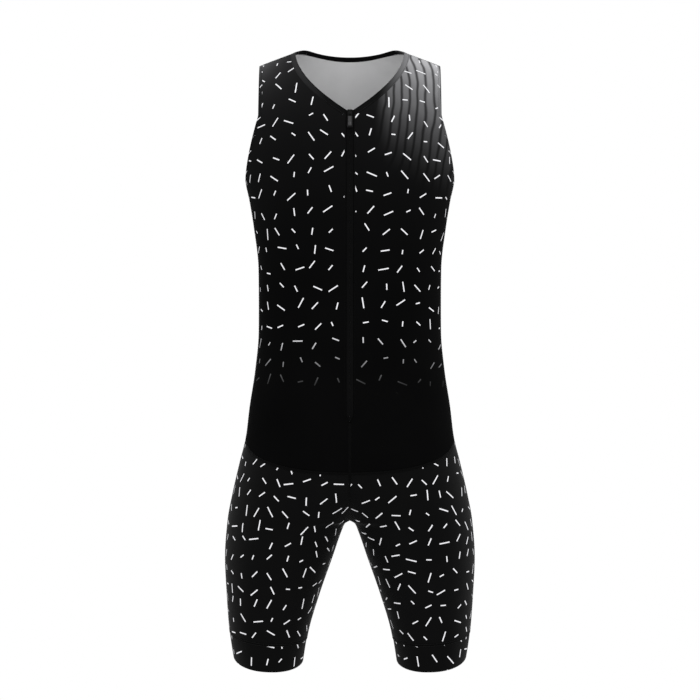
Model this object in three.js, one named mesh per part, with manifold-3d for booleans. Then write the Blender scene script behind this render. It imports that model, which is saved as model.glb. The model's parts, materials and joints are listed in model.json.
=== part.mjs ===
// A sleeveless triathlon suit with a front zip, filled out as if it were worn.
// Millimetres, +Z up. The front faces -Y and the wearer's left is +X. The origin lies midway between
// the two shoulder seams, level with them.

import * as THREE from "three";
import { mergeVertices } from "three/addons/utils/BufferGeometryUtils.js";
import Module from "manifold-3d";

const wasm = await Module();
wasm.setup();

// Cloth and seams
const clothWall = 1.2;
const seamGap = 0.3;
const bindingProud = 0.3;
const neckTapeBack = 8.3;
const neckTapeFront = 8.3;
const armTape = 6;

// Shoulder line and neck
const shoulderTipX = 145;
const shoulderTipZ = -14.5;
const shoulderSlope = 0.4;
const shoulderRounding = 40;
const shoulderY = 8;
const neckHalfWidth = 87;
const neckDepthFront = 106;
const neckDepthBack = 23.3;
const neckBow = 1.86;
const neckDepthBackInset = 0.8;
const neckStand = { height: 3, x: 72, spread: 15 };

// Armhole, hip seam, crotch and leg ends
const underarmZ = -197;
const armFlareZ = -100;
const chestRowZ = -215;
const hipSeam = { side: -607, front: -662, back: -603 };
const legsPartFrom = -620;
const legsPart = { spread: 0.8, fold: 2.7 };
const crotchZ = -741;
const gripperSeam = { inner: -928, outer: -915, frontDip: 9, backDip: -5 };
const hem = { inner: -965, outer: -957, frontDip: 14, backDip: -9 };

// How round the sections and the shoulders are
const sectionPower = 2.2;
const rollPower = 2;
const armFlarePower = 2 / 3;
const rollDepth = { front: 140, back: 115 };

// Zip
const zipHalfWidth = 6;
const zipTopZ = -97.5;
const zipEndZ = -575;
const tapeWall = 0.9;
const chain = { halfWidth: 2.3, wall: 1.6, topZ: -107 };
const slider = { halfWidth: 3.6, up: 5.9, down: 5, plate: 1.4, backPlate: 1.2, axisZ: -100.7, sink: 0.5 };
const post = { halfWidth: 1.2, height: 1.9 };
const bail = { halfWidth: 1.1, hole: 1.2, bar: 1, reach: 3, sink: 0.2 };
const pull = { wall: 1.2, headHalf: 2.9, tipHalf: 4.6, length: 24.2, taper: 2.5, corner: 1.6 };
const pullWindow = { length: 4.4, halfWidth: 1.6 };

// Half width and depth of the filled body at each height
const bodyRows = [
  { z: 20, half: 163, front: 78, back: 84 },
  { z: -60, half: 166, front: 92, back: 95 },
  { z: -110, half: 168, front: 103, back: 102 },
  { z: -197, half: 166.4, front: 112, back: 108 },
  { z: -230, half: 160, front: 114, back: 106 },
  { z: -270, half: 153.4, front: 110.5, back: 102 },
  { z: -340, half: 145.5, front: 103, back: 93 },
  { z: -400, half: 145, front: 97, back: 84 },
  { z: -440, half: 145.2, front: 96, back: 84 },
  { z: -500, half: 150.6, front: 97.5, back: 90 },
  { z: -560, half: 159.8, front: 99.5, back: 105 },
  { z: -607, half: 165.5, front: 102, back: 116.5 },
  { z: -650, half: 176, front: 104, back: 122 },
  { z: -700, half: 187.5, front: 101, back: 119 },
  { z: -741, half: 195, front: 93, back: 109 },
  { z: -800, half: 199.2, front: 86, back: 92 },
  { z: -860, half: 196.5, front: 78, back: 80 },
  { z: -920, half: 192, front: 68, back: 69 },
  { z: -990, half: 181, front: 61, back: 59 },
];

// Distance from the middle to the inside of a leg, and how far the leg's middle leans back
const legRows = [
  { z: -741, gap: 0, lean: 0 },
  { z: -746, gap: 8.5, lean: 0 },
  { z: -757, gap: 13.5, lean: 0 },
  { z: -800, gap: 28.5, lean: 1 },
  { z: -860, gap: 49.5, lean: 3 },
  { z: -920, gap: 67, lean: 4.5 },
  { z: -990, gap: 78.5, lean: 5 },
];

// Grid steps of the cloth walls
const yokeSteps = 8;
const neckSteps = 5;
const zipRows = 13;
const chestRows = 5;
const middleSeamRows = 3;
const middleSeamStart = { closed: 2, zip: 1, seam: 5 };
const backLowerRows = 14;
const gripperRows = 2;
const rowBunch = 1.4;
const panelColumns = 10;
const neckColumns = 6;
const shortRows = { seat: 5, leg: 10 };

const mix = (a, b, t) => a + (b - a) * t;
const clamp = (value, low, high) => Math.min(Math.max(value, low), high);
const smoothStep = (t) => t * t * (3 - 2 * t);
const softAbs = (x) => Math.hypot(x, shoulderRounding);
const roundPower = (value) => Math.pow(Math.abs(value), 2 / sectionPower);

// A smooth curve through one column of a table, which never overshoots its rows
function curveThrough(rows, column) {
  const steps = rows.slice(1).map((row, i) => (row[column] - rows[i][column]) / (row.z - rows[i].z));
  const slopes = rows.map((row, i) => {
    const before = steps[Math.max(i - 1, 0)];
    const after = steps[Math.min(i, steps.length - 1)];
    return before * after > 0 ? (2 * before * after) / (before + after) : 0;
  });
  return (z) => {
    const found = rows.findIndex((row, i) => i > 0 && z >= row.z);
    const i = (found < 0 ? rows.length - 1 : found) - 1;
    const width = rows[i + 1].z - rows[i].z;
    const t = clamp((z - rows[i].z) / width, 0, 1);
    const value = mix(rows[i][column], rows[i + 1][column], smoothStep(t));
    return value + width * t * (1 - t) * (slopes[i] * (1 - t) - slopes[i + 1] * t);
  };
}

const bodyHalf = curveThrough(bodyRows, "half");
const bodyDepth = { front: curveThrough(bodyRows, "front"), back: curveThrough(bodyRows, "back") };
const legGap = curveThrough(legRows, "gap");
const legLean = curveThrough(legRows, "lean");

const ridgeZ = (x) => shoulderTipZ + shoulderSlope * (softAbs(shoulderTipX) - softAbs(x));
const angleAtX = (x, z) => Math.asin(Math.pow(clamp(x / bodyHalf(z), 0, 1), sectionPower / 2));

// One half of the body's section: its outline runs from the middle plane round to the side
function sectionAt(z) {
  const half = bodyHalf(z);
  if (z < crotchZ) {
    const gap = legGap(z);
    return { centre: (half + gap) / 2, outer: (half - gap) / 2, inner: (half - gap) / 2, cut: Math.PI / 2 };
  }
  const parted = clamp((legsPartFrom - z) / (legsPartFrom - crotchZ), 0, 1);
  const centre = (half / 2) * Math.pow(parted, legsPart.spread);
  const fold = Math.sqrt(Math.max(1 - Math.pow(parted, legsPart.fold), 0));
  const cut = Math.acos(Math.pow(fold, sectionPower / 2));
  const inner = parted > 0 ? centre / roundPower(Math.sin(cut)) : half;
  return { centre, outer: half - centre, inner, cut };
}

// A point of the filled form: along goes from 0 at the middle plane to 1 at the side
function bodyPoint(face, along, z, rise = 0) {
  const section = sectionAt(z);
  const angle = mix(-section.cut, Math.PI / 2, along);
  const reach = angle < 0 ? -section.inner : section.outer;
  const x = section.centre + reach * roundPower(Math.sin(angle));
  const height = z + (typeof rise === "function" ? rise(x) : rise);
  const drop = clamp((ridgeZ(x) - height) / rollDepth[face], 0, 1);
  const roll = Math.pow(1 - Math.pow(1 - drop, rollPower), 1 / rollPower);
  const depth = bodyDepth[face](height) * roundPower(Math.cos(angle)) * (face === "front" ? -1 : 1);
  return new THREE.Vector3(x, mix(shoulderY, depth + legLean(Math.min(height, crotchZ)), roll), height);
}

// The armhole's edge, moved into the cloth by inset: t is 0 on the shoulder and 1 at the underarm
function armholeEdge(t, inset) {
  const topX = shoulderTipX - inset;
  const bottomZ = underarmZ - inset;
  const z = mix(ridgeZ(topX), bottomZ, smoothStep(t));
  const flare = clamp((z - bottomZ) / (armFlareZ - bottomZ), 0, 1);
  const topAngle = angleAtX(topX, Math.max(z, armFlareZ));
  return { z, along: 1 - (1 - topAngle / (Math.PI / 2)) * Math.pow(flare, armFlarePower), x: topX };
}

// The front neck's edge, moved into the cloth by inset: t is 0 on the shoulder and 1 at the zip
function neckEdge(t, inset) {
  const half = neckHalfWidth + inset;
  const edgeX = zipHalfWidth + seamGap;
  const lowest = Math.pow(1 - edgeX / half, 1 / neckBow);
  const down = lowest * Math.pow(t, rowBunch);
  return { z: ridgeZ(half) - (neckDepthFront + inset) * down, x: half * (1 - Math.pow(down, neckBow)) };
}

const neckTape = (t) => mix(neckTapeBack, neckTapeFront, t);

// The front: across goes from the neck and zip to the armhole and side, down from the shoulder to the hip
function frontPoint(across, down, neckInset, armInset) {
  const vAt = neckSteps / yokeSteps;
  const below = Math.max(down - 1, 0);
  const neckT = Math.min(down / vAt, 1);
  const neck = neckEdge(neckT, neckInset);
  const arm = armholeEdge(Math.min(down, 1), armInset);
  const chest = clamp((down - vAt) / (1 - vAt), 0, 1);
  const innerZ = mix(mix(neck.z, chestRowZ, chest), hipSeam.front, below);
  const outerZ = mix(arm.z, hipSeam.side, below);
  const innerX = innerZ > zipEndZ - middleSeamStart.closed ? neck.x : 0;
  const innerAlong = angleAtX(innerX, innerZ) / (Math.PI / 2);
  const along = mix(innerAlong, arm.along, across);
  const sweep = (value) => 1 - Math.cos((value * Math.PI) / 2);
  const ease = (sweep(along) - sweep(innerAlong)) / (sweep(arm.along) - sweep(innerAlong));
  const follow = Math.max(1 - down, 0);
  const line = mix(ridgeZ(neck.x), ridgeZ(arm.x), ease);
  return bodyPoint("front", along, mix(innerZ, outerZ, ease), (x) => follow * (ridgeZ(x) - line));
}

// The back's top edge: the shoulder line, hollowed for the neck
function backTopZ(x, neckInset) {
  const reach = clamp(x / (neckHalfWidth + neckInset), 0, 1);
  const depth = neckDepthBack + neckDepthBackInset * neckInset;
  return ridgeZ(x) - depth * Math.pow(1 - reach * reach, 2);
}

// The back: across goes from the middle to the armhole and side, down from the neck to the hip
function backPoint(across, down, neckInset, armInset) {
  const arm = armholeEdge(Math.min(down, 1), armInset);
  const below = Math.max(down - 1, 0);
  const yoke = smoothStep(Math.min(down, 1));
  const innerZ = mix(mix(backTopZ(0, neckInset), chestRowZ, yoke), hipSeam.back, below);
  const outerZ = mix(arm.z, hipSeam.side, below);
  const along = across * arm.along;
  const sweep = (value) => 1 - Math.cos((value * Math.PI) / 2);
  const ease = sweep(along) / sweep(arm.along);
  const follow = Math.max(1 - down, 0);
  const line = mix(backTopZ(0, neckInset), backTopZ(arm.x, neckInset), ease);
  const rise = (x) => follow * (backTopZ(x, neckInset) - line);
  return bodyPoint("back", along, mix(innerZ, outerZ, ease), rise);
}

// The shorts: across goes from the middle and inseam to the side, down from the hip seam to the gripper
function shortPoint(face, across, down) {
  const seatEnd = shortRows.seat / (shortRows.seat + shortRows.leg);
  const seat = Math.sin((Math.min(down / seatEnd, 1) * Math.PI) / 2);
  const leg = Math.max((down - seatEnd) / (1 - seatEnd), 0);
  const innerZ = mix(mix(hipSeam[face], crotchZ, seat), gripperSeam.inner, Math.pow(leg, rowBunch));
  const outerZ = mix(hipSeam.side, gripperSeam.outer, down);
  const ease = 1 - Math.cos((across * Math.PI) / 2);
  const dip = gripperSeam[`${face}Dip`] * leg * Math.sin(across * Math.PI);
  return bodyPoint(face, across, mix(innerZ, outerZ, ease) - dip);
}

// The gripper: around goes from the inseam over the front to the side and back behind
function gripperPoint(around, down, topGap) {
  const face = around <= 1 ? "front" : "back";
  const across = around <= 1 ? around : 2 - around;
  const ease = 1 - Math.cos((across * Math.PI) / 2);
  const bow = Math.sin(across * Math.PI);
  const top = mix(gripperSeam.inner, gripperSeam.outer, ease) - gripperSeam[`${face}Dip`] * bow - topGap;
  const bottom = mix(hem.inner, hem.outer, ease) - hem[`${face}Dip`] * bow;
  return bodyPoint(face, across, mix(top, bottom, down));
}

// The direction out of the cloth, from two small steps along it
function outward(surface, a, b) {
  const step = 1e-3;
  const high = surface.limits ?? [1, 1];
  const alongA = surface(Math.min(a + step, high[0]), b).sub(surface(Math.max(a - step, 0), b));
  const alongB = surface(a, Math.min(b + step, high[1])).sub(surface(a, Math.max(b - step, 0)));
  const normal = alongA.cross(alongB).normalize();
  const point = surface(a, b);
  const away = (point.x - sectionAt(point.z).centre) * normal.x + point.y * normal.y;
  return away < 0 ? normal.negate() : normal;
}

// Keeps half the seam's gap to the middle plane and to the shoulder and side seams
function keepClear(point, face, middleSeam) {
  const half = seamGap / 2;
  const seamY = point.z > armFlareZ ? shoulderY : legLean(Math.min(point.z, crotchZ));
  if (middleSeam) point.x = Math.max(point.x, half);
  point.y = face === "front" ? Math.min(point.y, seamY - half) : Math.max(point.y, seamY + half);
  return point;
}

// Closed mesh from two like grids of points, the wall's two faces; ring joins the last column to the first
function wallBetween(outer, inner, ring = false) {
  const rows = outer.length;
  const columns = outer[0].length;
  const points = [...outer.flat(), ...inner.flat()];
  const at = (side, row, column) => side * rows * columns + row * columns + (column % columns);
  const faces = [];
  const quad = (a, b, c, d) => faces.push([a, b, c], [a, c, d]);
  const spans = ring ? columns : columns - 1;
  for (let row = 0; row + 1 < rows; row += 1) {
    for (let column = 0; column < spans; column += 1) {
      quad(at(0, row, column), at(0, row, column + 1), at(0, row + 1, column + 1), at(0, row + 1, column));
      quad(at(1, row, column), at(1, row + 1, column), at(1, row + 1, column + 1), at(1, row, column + 1));
    }
    if (ring) continue;
    quad(at(0, row, 0), at(0, row + 1, 0), at(1, row + 1, 0), at(1, row, 0));
    const last = columns - 1;
    quad(at(0, row, last), at(1, row, last), at(1, row + 1, last), at(0, row + 1, last));
  }
  for (let column = 0; column < spans; column += 1) {
    quad(at(0, 0, column), at(1, 0, column), at(1, 0, column + 1), at(0, 0, column + 1));
    const end = rows - 1;
    quad(at(0, end, column), at(0, end, column + 1), at(1, end, column + 1), at(1, end, column));
  }
  const volume = faces.reduce((sum, [a, b, c]) => {
    return sum + points[a].dot(new THREE.Vector3().crossVectors(points[b], points[c]));
  }, 0);
  const geometry = new THREE.BufferGeometry().setFromPoints(points);
  geometry.setIndex(faces.flatMap(([a, b, c]) => (volume > 0 ? [a, b, c] : [a, c, b])));
  geometry.computeVertexNormals();
  return geometry;
}

const steps = (from, to, count) => Array.from({ length: count + 1 }, (_, i) => mix(from, to, i / count));

// A cloth panel over a list of rows and columns of its surface
function panel(surface, downs, acrosses, face, middleSeam) {
  const grid = (depth) =>
    downs.map((down) =>
      acrosses.map((across) => {
        const point = surface(across, down).addScaledVector(outward(surface, across, down), -depth);
        return keepClear(point, face, middleSeam);
      }),
    );
  return wallBetween(grid(0), grid(clothWall));
}

// A narrow strip between two edges, each a list of { point, normal }
function strip(edges, wall, proud, ring = false) {
  const lifted = ({ point, normal }, amount) => point.clone().addScaledVector(normal, amount);
  const lift = (amount) => edges.map((edge) => edge.map((station) => lifted(station, amount)));
  return wallBetween(lift(proud), lift(-wall - proud), ring);
}

const mirrored = (geometry) => {
  const copy = geometry.clone().applyMatrix4(new THREE.Matrix4().makeScale(-1, 1, 1));
  const order = Array.from(copy.index.array);
  for (let i = 0; i < order.length; i += 3) [order[i + 1], order[i + 2]] = [order[i + 2], order[i + 1]];
  copy.setIndex(order);
  copy.computeVertexNormals();
  return copy;
};

const materials = {
  cloth: new THREE.MeshStandardMaterial({ color: 0x101012, roughness: 0.7 }),
  tape: new THREE.MeshStandardMaterial({ color: 0x18181a, roughness: 0.8 }),
  gripper: new THREE.MeshStandardMaterial({ color: 0x141416, roughness: 0.7 }),
  zip: new THREE.MeshStandardMaterial({ color: 0x0c0c0d, roughness: 0.6 }),
  metal: new THREE.MeshStandardMaterial({ color: 0x3c3c40, roughness: 0.35, metalness: 0.8 }),
};

const suit = new THREE.Group();

function add(name, geometry, material, parent = suit) {
  const mesh = new THREE.Mesh(geometry, material);
  mesh.name = name;
  parent.add(mesh);
  return mesh;
}

function addPair(name, geometry, material) {
  add(`${name}_left`, geometry, material);
  add(`${name}_right`, mirrored(geometry), material);
}

// Rows of the fronts below the chest: even to the zip's end, then the short middle seam to the hip
const frontDown = (z) => 1 + (chestRowZ - z) / (chestRowZ - hipSeam.front);
const frontRows = [
  ...steps(0, 1, yokeSteps),
  ...steps(frontDown(chestRowZ), frontDown(zipEndZ - middleSeamStart.zip), zipRows).slice(1),
  ...steps(frontDown(zipEndZ - middleSeamStart.seam), frontDown(hipSeam.front), middleSeamRows),
];
const endInset = seamGap / 2 / (chestRowZ - hipSeam.front);
const tapeInset = { neck: (t) => neckTape(t) + seamGap, arm: armTape + seamGap };

// Columns from the middle to the side, alike above and below each seam; the back has one at the neck's end
const backTop = armholeEdge(0, tapeInset.arm);
const neckEndAcross = (inset) => angleAtX(neckHalfWidth + inset, backTop.z) / (Math.PI / 2) / backTop.along;
const neckEnd = neckEndAcross(neckTapeBack + seamGap);
const columns = {
  front: steps(0, 1, panelColumns),
  back: [...steps(0, neckEnd, neckColumns), ...steps(neckEnd, 1, panelColumns - neckColumns).slice(1)],
};

// Fronts, with the neck's and armhole's tapes left off their edges
function frontSurface(across, down) {
  const neckT = Math.min((down * yokeSteps) / neckSteps, 1);
  return frontPoint(across, down, tapeInset.neck(neckT), tapeInset.arm);
}
frontSurface.limits = [1, 2];
const shiftLast = (rows, amount) => rows.map((row, i) => (i === rows.length - 1 ? row - amount : row));
addPair(
  "front",
  panel(frontSurface, shiftLast(frontRows, endInset), columns.front, "front", true),
  materials.cloth,
);

// Back, one piece from side to side, with a column at each end of the neck
function backSurface(across, down) {
  return backPoint(across, down, neckTapeBack + seamGap, tapeInset.arm);
}
backSurface.limits = [1, 2];
const backRows = shiftLast([...steps(0, 1, yokeSteps), ...steps(1, 2, backLowerRows).slice(1)], endInset);

function backGrid(depth) {
  const half = (down) =>
    columns.back.map((across) => {
      const point = backSurface(across, down).addScaledVector(outward(backSurface, across, down), -depth);
      return keepClear(point, "back", false);
    });
  return backRows.map((down) => {
    const left = half(down);
    const right = left.slice(1).reverse();
    return [...right.map((point) => new THREE.Vector3(-point.x, point.y, point.z)), ...left];
  });
}
add("back", wallBetween(backGrid(0), backGrid(clothWall)), materials.cloth);

// Shorts, four pieces that meet under the crotch
const shortHeight = hipSeam.side - gripperSeam.outer;
const shortDowns = steps(0, 1, shortRows.seat + shortRows.leg);
for (const face of ["front", "back"]) {
  const surface = (across, down) => shortPoint(face, across, down);
  const inset = seamGap / 2 / shortHeight;
  const downs = shortDowns.map((down) => mix(inset, 1 - inset, down));
  addPair(`short_${face}`, panel(surface, downs, columns[face], face, true), materials.cloth);
}

// Grippers, a ring round each leg's end
function gripperGrid(depth) {
  const surface = (around, down) => gripperPoint(around, down, seamGap / 2);
  surface.limits = [2, 1];
  const behind = columns.back.slice(1, -1).map((across) => 2 - across);
  const arounds = [...columns.front, ...behind.reverse()];
  return steps(0, 1, gripperRows).map((down) =>
    arounds.map((around) => surface(around, down).addScaledVector(outward(surface, around, down), -depth)),
  );
}
addPair("leg_gripper", wallBetween(gripperGrid(0), gripperGrid(clothWall), true), materials.gripper);

// Neck tape, one strip from the zip's left edge round the back to its right edge
function neckStation(surface, across, down) {
  return { point: surface(across, down), normal: outward(surface, across, down) };
}

// The tape's free edge stands up a little behind each shoulder
const standAt = (x) => neckStand.height * Math.exp(-Math.pow((x - neckStand.x) / neckStand.spread, 2));

function neckTapeEdge(finished) {
  const frontEdge = (across, down) => {
    const neckT = Math.min((down * yokeSteps) / neckSteps, 1);
    return frontPoint(across, down, finished ? 0 : neckTape(neckT), tapeInset.arm);
  };
  frontEdge.limits = [1, 2];
  const backInset = finished ? 0 : neckTapeBack;
  const backEdge = (across, down) => backPoint(across, down, backInset, tapeInset.arm);
  backEdge.limits = [1, 2];
  const endAlong = neckEndAcross(backInset);
  const backStation = (across) => {
    const station = neckStation(backEdge, across, 0);
    if (finished) station.point.z += standAt(station.point.x);
    return station;
  };
  const left = [
    ...steps(0, 1, yokeSteps)
      .slice(0, neckSteps + 1)
      .reverse()
      .map((down) => neckStation(frontEdge, 0, down)),
    ...steps(0, endAlong, neckColumns)
      .slice(0, -1)
      .reverse()
      .map(backStation),
  ];
  const right = left
    .slice(0, -1)
    .reverse()
    .map(({ point, normal }) => ({
      point: new THREE.Vector3(-point.x, point.y, point.z),
      normal: new THREE.Vector3(-normal.x, normal.y, normal.z),
    }));
  return [...left, ...right];
}
const neckEdges = [neckTapeEdge(true), neckTapeEdge(false)];
add("neck_binding", strip(neckEdges, clothWall, bindingProud), materials.tape);

// Armhole tapes, a closed loop from the shoulder down the front to the underarm and up the back
function armTapeEdge(inset) {
  const surfaceOf = (point) => {
    const surface = (across, down) => point(across, down, 0, inset);
    surface.limits = [1, 2];
    return surface;
  };
  const front = surfaceOf(frontPoint);
  const back = surfaceOf(backPoint);
  return [
    ...steps(0, 1, yokeSteps).map((down) => neckStation(front, 1, down)),
    ...steps(0, 1, yokeSteps)
      .slice(1, -1)
      .reverse()
      .map((down) => neckStation(back, 1, down)),
  ];
}
const armEdges = [armTapeEdge(0), armTapeEdge(armTape)];
addPair("armhole_binding", strip(armEdges, clothWall, bindingProud, true), materials.tape);

// Zip tapes and the coil behind them follow the fronts' middle edges
const frontAtX = (x, z) => bodyPoint("front", angleAtX(x, z) / (Math.PI / 2), z);
const middleOutward = (z) => {
  const run = frontAtX(0, z - 1).sub(frontAtX(0, z + 1));
  return new THREE.Vector3(0, run.z, -run.y).normalize();
};

function zipStrip(fromX, toX, topZ, front, wall) {
  const shared = [...steps(chain.topZ, chestRowZ, chestRows), ...steps(chestRowZ, zipEndZ, zipRows).slice(1)];
  const rowZs = [topZ, ...[slider.axisZ, ...shared].filter((z) => z < topZ)];
  const grid = (depth) =>
    rowZs.map((z) => [fromX, toX].map((x) => frontAtX(x, z).addScaledVector(middleOutward(z), -depth)));
  return wallBetween(grid(front), grid(front + wall));
}
addPair("zip_tape", zipStrip(seamGap / 2, zipHalfWidth, zipTopZ, 0, tapeWall), materials.zip);
const chainFront = tapeWall + seamGap;
const halfChain = zipStrip(0, chain.halfWidth, chain.topZ, chainFront, chain.wall);
add("zip_chain", joined([solidOf(halfChain), solidOf(mirrored(halfChain))]), materials.zip);

// Solids for joining and cutting
function solidOf(geometry) {
  const bare = geometry.clone();
  bare.deleteAttribute("normal");
  bare.deleteAttribute("uv");
  const merged = mergeVertices(bare, 1e-4);
  const mesh = { numProp: 3, vertProperties: new Float32Array(merged.attributes.position.array) };
  mesh.triVerts = new Uint32Array(merged.index.array);
  return new wasm.Manifold(new wasm.Mesh(mesh));
}

function joined(solids) {
  const mesh = solids.reduce((sum, solid) => sum.add(solid)).getMesh();
  const geometry = new THREE.BufferGeometry();
  geometry.setAttribute("position", new THREE.BufferAttribute(new Float32Array(mesh.vertProperties), 3));
  geometry.setIndex(Array.from(mesh.triVerts));
  geometry.computeVertexNormals();
  return geometry;
}

function block(x, y, z) {
  const size = [x, y, z].map(([low, high]) => high - low);
  const middle = [x, y, z].map(([low, high]) => (high + low) / 2);
  return solidOf(new THREE.BoxGeometry(...size).translate(...middle));
}

// The slider's frame: its origin is the pull's axis and -Y points out of the cloth
const axisLift = seamGap + slider.plate + bail.hole;
const axisOut = middleOutward(slider.axisZ);
const sliderFrame = new THREE.Group();
sliderFrame.position.copy(frontAtX(0, slider.axisZ)).addScaledVector(axisOut, axisLift);
sliderFrame.rotation.x = Math.atan2(axisOut.z, -axisOut.y) * -1;
suit.add(sliderFrame);

function sliderGeometry() {
  const height = [-slider.down, slider.up];
  const width = [-slider.halfWidth, slider.halfWidth];
  const frontPlate = [bail.hole, bail.hole + slider.plate];
  const backStart = frontPlate[1] + seamGap + tapeWall + seamGap;
  const backPlate = [backStart, backStart + slider.backPlate];
  const postZ = [slider.up - post.height, slider.up];
  const postDepth = [frontPlate[0] + slider.sink, backPlate[1] - slider.sink];
  const bailX = [-bail.halfWidth, bail.halfWidth];
  const bailFront = -bail.hole - bail.bar;
  const bailLeg = [bailFront + bail.sink, frontPlate[0] + slider.sink];
  const legInner = bail.reach - bail.bar;
  return joined([
    block(width, frontPlate, height),
    block(width, backPlate, height),
    block([-post.halfWidth, post.halfWidth], postDepth, postZ),
    block(bailX, [bailFront, -bail.hole], [-bail.reach, bail.reach]),
    block(bailX, bailLeg, [legInner, bail.reach]),
    block(bailX, bailLeg, [-bail.reach, -legInner]),
  ]);
}
add("zip_slider", sliderGeometry(), materials.metal, sliderFrame);

// Pull tab: its top bar lies under the slider's bail, and the window lets the bail through
function pullGeometry() {
  const bar = pull.wall / 2;
  const bottom = -pull.length;
  const shoulder = -pullWindow.length;
  const outline = new THREE.Shape();
  outline.moveTo(-pull.headHalf, bar);
  outline.lineTo(pull.headHalf, bar);
  outline.lineTo(pull.headHalf, shoulder);
  outline.lineTo(pull.tipHalf, shoulder - pull.taper);
  outline.lineTo(pull.tipHalf, bottom + pull.corner);
  outline.quadraticCurveTo(pull.tipHalf, bottom, pull.tipHalf - pull.corner, bottom);
  outline.lineTo(pull.corner - pull.tipHalf, bottom);
  outline.quadraticCurveTo(-pull.tipHalf, bottom, -pull.tipHalf, bottom + pull.corner);
  outline.lineTo(-pull.tipHalf, shoulder - pull.taper);
  outline.lineTo(-pull.headHalf, shoulder);
  const flat = new THREE.ExtrudeGeometry(outline, { depth: pull.wall, bevelEnabled: false, curveSegments: 4 });
  flat.rotateX(Math.PI / 2).translate(0, bar, 0);
  const thick = [-pull.wall, pull.wall];
  const window = block([-pullWindow.halfWidth, pullWindow.halfWidth], thick, [shoulder, -bar]);
  return joined([solidOf(flat).subtract(window)]);
}
add("zip_pull", pullGeometry(), materials.metal, sliderFrame);

export default suit;
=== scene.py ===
# A sleeveless triathlon suit with a front zip, filled out as if it were worn.
# The suit's form is worked out in millimetres, and every mesh is made in metres.

import json
import math

import bmesh
import bpy
import numpy as np
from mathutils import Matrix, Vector


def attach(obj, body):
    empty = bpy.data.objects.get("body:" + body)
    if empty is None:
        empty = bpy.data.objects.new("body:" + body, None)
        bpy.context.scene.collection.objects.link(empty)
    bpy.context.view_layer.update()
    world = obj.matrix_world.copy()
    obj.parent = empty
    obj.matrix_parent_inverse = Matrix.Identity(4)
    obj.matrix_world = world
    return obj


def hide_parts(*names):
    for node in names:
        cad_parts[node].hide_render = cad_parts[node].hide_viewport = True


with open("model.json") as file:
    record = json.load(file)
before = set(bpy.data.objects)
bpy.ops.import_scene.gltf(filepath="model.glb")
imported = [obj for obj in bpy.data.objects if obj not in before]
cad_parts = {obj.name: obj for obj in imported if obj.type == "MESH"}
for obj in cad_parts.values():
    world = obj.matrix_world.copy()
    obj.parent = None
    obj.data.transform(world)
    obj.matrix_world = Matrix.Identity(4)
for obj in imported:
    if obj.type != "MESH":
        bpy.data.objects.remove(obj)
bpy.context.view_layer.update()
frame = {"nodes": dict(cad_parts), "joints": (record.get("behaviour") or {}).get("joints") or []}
mm = 0.001
sides = ((1, "left"), (-1, "right"))  # the wearer's
print("stage: frame loaded")


# Shader sums: a wire is a socket that takes part in plain arithmetic
class Wire:
    def __init__(self, shader, socket):
        self.shader = shader
        self.socket = socket

    def math(self, operation, *others, clamp=False):
        settings = {"operation": operation, "use_clamp": clamp}
        return self.shader.node("ShaderNodeMath", settings, {i: v for i, v in enumerate((self, *others))})

    def __add__(self, other):
        return self.math("ADD", other)

    __radd__ = __add__

    def __sub__(self, other):
        return self.math("SUBTRACT", other)

    def __rsub__(self, other):
        return (self * -1) + other

    def __mul__(self, other):
        return self.math("MULTIPLY", other)

    __rmul__ = __mul__

    def __truediv__(self, other):
        return self.math("DIVIDE", other)

    def __abs__(self):
        return self.math("ABSOLUTE")


class Shader:
    def __init__(self, name):
        self.material = bpy.data.materials.new(name)
        self.material.use_nodes = True
        self.tree = self.material.node_tree
        self.tree.nodes.clear()

    def node(self, kind, settings=None, values=None, output=0):
        made = self.tree.nodes.new(kind)
        for key, value in (settings or {}).items():
            setattr(made, key, value)
        for key, value in (values or {}).items():
            socket = made.inputs[key]
            if isinstance(value, Wire):
                self.tree.links.new(value.socket, socket)
            else:
                socket.default_value = value
        return None if output is None else Wire(self, made.outputs[output])

    def parts(self, vector):
        return [self.node("ShaderNodeSeparateXYZ", {}, {0: vector}, i) for i in range(3)]

    def vector(self, x, y, z=0.0):
        return self.node("ShaderNodeCombineXYZ", {}, {0: x, 1: y, 2: z})

    def place(self):
        return self.node("ShaderNodeTexCoord", {}, {}, 3)

    def flat(self):
        return self.node("ShaderNodeUVMap", {"uv_map": "flat"})

    def mix(self, factor, low, high):
        return self.node("ShaderNodeMix", {"data_type": "RGBA"}, {0: factor, 6: low, 7: high}, 2)

    def ramp(self, value, low, high, kind="LINEAR"):
        values = {0: value, 1: low, 2: high, 3: 0.0, 4: 1.0}
        return self.node("ShaderNodeMapRange", {"interpolation_type": kind}, values)

    def smooth(self, value, low, high):
        return self.ramp(value, low, high, "SMOOTHSTEP")

    def distance(self, vector, spot):
        return self.node("ShaderNodeVectorMath", {"operation": "DISTANCE"}, {0: vector, 1: spot}, 1)

    def noise(self, vector, scale, detail=3.0):
        values = {"Vector": vector, "Scale": scale, "Detail": detail, "Roughness": 0.55}
        return self.node("ShaderNodeTexNoise", {}, values)

    def bump(self, height, strength, distance):
        return self.node("ShaderNodeBump", {}, {"Strength": strength, "Distance": distance, "Height": height})

    def finish(self, **sockets):
        values = {key.replace("_", " "): value for key, value in sockets.items()}
        surface = self.node("ShaderNodeBsdfPrincipled", {}, values)
        self.node("ShaderNodeOutputMaterial", {"target": "ALL"}, {"Surface": surface}, None)
        return self.material


def grey(level):
    return (level, level, level * 1.03, 1.0)


# Print: short white dashes in four staggered layers, one to a cell, strewn and turned by chance
dashPrint = {
    "cell": {"torso": 0.0585, "legs": 0.0495},
    "stray": 0.0105,
    "halfLength": (0.0031, 0.0088),
    "halfWidth": 0.00092,
    "edge": 0.0004,
    "corner": 0.0004,
    "zipMargin": (0.0082, 0.0090),
}


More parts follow.
